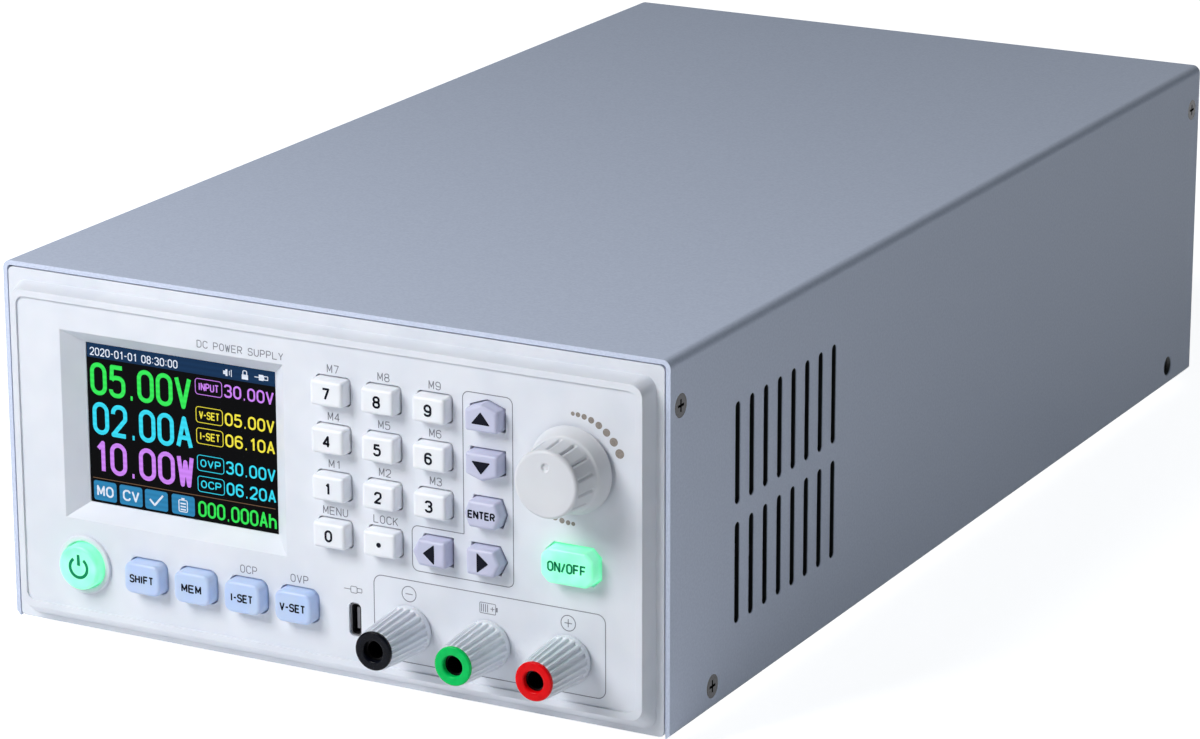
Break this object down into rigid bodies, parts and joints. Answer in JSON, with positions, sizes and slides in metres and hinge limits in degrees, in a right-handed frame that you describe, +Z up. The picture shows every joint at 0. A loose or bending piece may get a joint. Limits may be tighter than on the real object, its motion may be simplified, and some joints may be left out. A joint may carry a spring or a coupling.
{
  "type": "bench power supply",
  "caption": "Bench DC power supply: sheet-metal case, keypad front with colour display, knob, screw terminals, fan and mains inlet.",
  "frame": {"origin": "middle of the bounding box in X and Y, on the surface the feet stand on", "axes": "front panel faces -Y, +X is to the right seen from the front, +Z is up"},
  "size_m": [0.168, 0.3282, 0.0873],
  "materials": {
    "black_plastic": "satin",
    "black_screw": "black oxide",
    "blue_keycap": "satin, translucent",
    "brass_pin": "nickel-plated brass",
    "circuit_board": "solder mask",
    "display_glass": "polished lens over the lit display",
    "foot_rubber": "matte",
    "heat_sink": "extruded",
    "lavender_keycap": "satin",
    "lit_green_keycap": "satin, lit from inside",
    "painted_case": "fine textured grey-blue powder coat",
    "plated_steel": "nickel plated",
    "plated_stud": "nickel plated",
    "post_ring_black": "gloss",
    "post_ring_green": "gloss",
    "post_ring_red": "gloss",
    "terminal_cap": "satin, fluted",
    "white_keycap": "satin",
    "white_plastic": "fine satin moulding",
    "zinc_sheet": "zinc-plated sheet"
  },
  "bodies": {
    "case": {"board_parts": "black_plastic", "chassis_tray": "zinc_sheet", "control_board": "circuit_board", "cover": "painted_case", "cover_screws": "black_screw", "display_glass": "display_glass", "display_module": "zinc_sheet", "encoder_body": "plated_steel", "fan_frame": "black_plastic", "fan_guard": "plated_steel", "feet": "foot_rubber", "fixing_screws": "plated_steel", "front_panel": "white_plastic", "heat_sink": "heat_sink", "inlet_pins": "brass_pin", "key_switches": "black_plastic", "main_board": "circuit_board", "mains_inlet": "black_plastic", "panel_nuts": "plated_steel", "post_stud_black": "plated_stud", "post_stud_green": "plated_stud", "post_stud_red": "plated_stud", "power_ring": "white_plastic", "rear_panel": "painted_case", "supply_board": "circuit_board", "supply_case": "zinc_sheet", "usb_port": "plated_steel"},
    "key_0": {"key_0": "white_keycap"},
    "key_1": {"key_1": "white_keycap"},
    "key_2": {"key_2": "white_keycap"},
    "key_3": {"key_3": "white_keycap"},
    "key_4": {"key_4": "white_keycap"},
    "key_5": {"key_5": "white_keycap"},
    "key_6": {"key_6": "white_keycap"},
    "key_7": {"key_7": "white_keycap"},
    "key_8": {"key_8": "white_keycap"},
    "key_9": {"key_9": "white_keycap"},
    "key_current": {"key_current": "blue_keycap"},
    "key_down": {"key_down": "lavender_keycap"},
    "key_enter": {"key_enter": "lavender_keycap"},
    "key_left": {"key_left": "lavender_keycap"},
    "key_memory": {"key_memory": "blue_keycap"},
    "key_output": {"key_output": "lit_green_keycap"},
    "key_point": {"key_point": "white_keycap"},
    "key_right": {"key_right": "lavender_keycap"},
    "key_shift": {"key_shift": "blue_keycap"},
    "key_up": {"key_up": "lavender_keycap"},
    "key_voltage": {"key_voltage": "blue_keycap"},
    "power_button": {"power_button": "lit_green_keycap"},
    "encoder_push": {"encoder_plunger": "black_plastic"},
    "knob": {"encoder_shaft": "plated_steel", "knob": "white_plastic"},
    "ring_black": {"post_ring_black": "post_ring_black"},
    "cap_black": {"post_cap_black": "terminal_cap"},
    "ring_green": {"post_ring_green": "post_ring_green"},
    "cap_green": {"post_cap_green": "terminal_cap"},
    "ring_red": {"post_ring_red": "post_ring_red"},
    "cap_red": {"post_cap_red": "terminal_cap"},
    "fan": {"fan_rotor": "black_plastic"},
    "mains_rocker": {"mains_rocker": "black_plastic"}
  },
  "joints": [
    {"name": "key_0_press", "type": "slide", "parent": "case", "child": "key_0", "axis": [0, 1, 0], "range_m": [0, 0.0004], "stiffness_N_per_m": 2500},
    {"name": "key_1_press", "type": "slide", "parent": "case", "child": "key_1", "axis": [0, 1, 0], "range_m": [0, 0.0004], "stiffness_N_per_m": 2500},
    {"name": "key_2_press", "type": "slide", "parent": "case", "child": "key_2", "axis": [0, 1, 0], "range_m": [0, 0.0004], "stiffness_N_per_m": 2500},
    {"name": "key_3_press", "type": "slide", "parent": "case", "child": "key_3", "axis": [0, 1, 0], "range_m": [0, 0.0004], "stiffness_N_per_m": 2500},
    {"name": "key_4_press", "type": "slide", "parent": "case", "child": "key_4", "axis": [0, 1, 0], "range_m": [0, 0.0004], "stiffness_N_per_m": 2500},
    {"name": "key_5_press", "type": "slide", "parent": "case", "child": "key_5", "axis": [0, 1, 0], "range_m": [0, 0.0004], "stiffness_N_per_m": 2500},
    {"name": "key_6_press", "type": "slide", "parent": "case", "child": "key_6", "axis": [0, 1, 0], "range_m": [0, 0.0004], "stiffness_N_per_m": 2500},
    {"name": "key_7_press", "type": "slide", "parent": "case", "child": "key_7", "axis": [0, 1, 0], "range_m": [0, 0.0004], "stiffness_N_per_m": 2500},
    {"name": "key_8_press", "type": "slide", "parent": "case", "child": "key_8", "axis": [0, 1, 0], "range_m": [0, 0.0004], "stiffness_N_per_m": 2500},
    {"name": "key_9_press", "type": "slide", "parent": "case", "child": "key_9", "axis": [0, 1, 0], "range_m": [0, 0.0004], "stiffness_N_per_m": 2500},
    {"name": "key_current_press", "type": "slide", "parent": "case", "child": "key_current", "axis": [0, 1, 0], "range_m": [0, 0.0004], "stiffness_N_per_m": 2500},
    {"name": "key_down_press", "type": "slide", "parent": "case", "child": "key_down", "axis": [0, 1, 0], "range_m": [0, 0.0004], "stiffness_N_per_m": 2500},
    {"name": "key_enter_press", "type": "slide", "parent": "case", "child": "key_enter", "axis": [0, 1, 0], "range_m": [0, 0.0004], "stiffness_N_per_m": 2500},
    {"name": "key_left_press", "type": "slide", "parent": "case", "child": "key_left", "axis": [0, 1, 0], "range_m": [0, 0.0004], "stiffness_N_per_m": 2500},
    {"name": "key_memory_press", "type": "slide", "parent": "case", "child": "key_memory", "axis": [0, 1, 0], "range_m": [0, 0.0004], "stiffness_N_per_m": 2500},
    {"name": "key_output_press", "type": "slide", "parent": "case", "child": "key_output", "axis": [0, 1, 0], "range_m": [0, 0.0004], "stiffness_N_per_m": 2500},
    {"name": "key_point_press", "type": "slide", "parent": "case", "child": "key_point", "axis": [0, 1, 0], "range_m": [0, 0.0004], "stiffness_N_per_m": 2500},
    {"name": "key_right_press", "type": "slide", "parent": "case", "child": "key_right", "axis": [0, 1, 0], "range_m": [0, 0.0004], "stiffness_N_per_m": 2500},
    {"name": "key_shift_press", "type": "slide", "parent": "case", "child": "key_shift", "axis": [0, 1, 0], "range_m": [0, 0.0004], "stiffness_N_per_m": 2500},
    {"name": "key_up_press", "type": "slide", "parent": "case", "child": "key_up", "axis": [0, 1, 0], "range_m": [0, 0.0004], "stiffness_N_per_m": 2500},
    {"name": "key_voltage_press", "type": "slide", "parent": "case", "child": "key_voltage", "axis": [0, 1, 0], "range_m": [0, 0.0004], "stiffness_N_per_m": 2500},
    {"name": "power_button_press", "type": "slide", "parent": "case", "child": "power_button", "axis": [0, 1, 0], "range_m": [0, 0.0004], "stiffness_N_per_m": 2500},
    {"name": "knob_press", "type": "slide", "parent": "case", "child": "encoder_push", "axis": [0, 1, 0], "range_m": [0, 0.0005], "stiffness_N_per_m": 5000},
    {"name": "knob_turn", "type": "hinge", "parent": "encoder_push", "child": "knob", "pos_m": [0.0629, -0.15475, 0.0616], "axis": [0, -1, 0], "continuous": true},
    {"name": "terminal_black_travel", "type": "slide", "parent": "case", "child": "ring_black", "axis": [0, -1, 0], "range_m": [0, 0.0035]},
    {"name": "terminal_black_turn", "type": "hinge", "parent": "ring_black", "child": "cap_black", "pos_m": [0.0224, -0.15475, 0.0188], "axis": [0, -1, 0], "range_deg": [-15, 1290]},
    {"name": "terminal_green_travel", "type": "slide", "parent": "case", "child": "ring_green", "axis": [0, -1, 0], "range_m": [0, 0.0035]},
    {"name": "terminal_green_turn", "type": "hinge", "parent": "ring_green", "child": "cap_green", "pos_m": [0.042, -0.15475, 0.0188], "axis": [0, -1, 0], "range_deg": [-15, 1290]},
    {"name": "terminal_red_travel", "type": "slide", "parent": "case", "child": "ring_red", "axis": [0, -1, 0], "range_m": [0, 0.0035]},
    {"name": "terminal_red_turn", "type": "hinge", "parent": "ring_red", "child": "cap_red", "pos_m": [0.0616, -0.15475, 0.0188], "axis": [0, -1, 0], "range_deg": [-15, 1290]},
    {"name": "fan_spin", "type": "hinge", "parent": "case", "child": "fan", "pos_m": [-0.038, 0.14525, 0.045], "axis": [0, 1, 0], "continuous": true},
    {"name": "mains_switch", "type": "hinge", "parent": "case", "child": "mains_rocker", "pos_m": [0.046, 0.15965, 0.058], "axis": [0, 0, 1], "range_deg": [-16, 0]}
  ],
  "couplings": [
    {"joint": "terminal_black_turn", "follows": "terminal_black_travel", "rad_per_m": 6283.2},
    {"joint": "terminal_green_turn", "follows": "terminal_green_travel", "rad_per_m": 6283.2},
    {"joint": "terminal_red_turn", "follows": "terminal_red_travel", "rad_per_m": 6283.2}
  ]
}
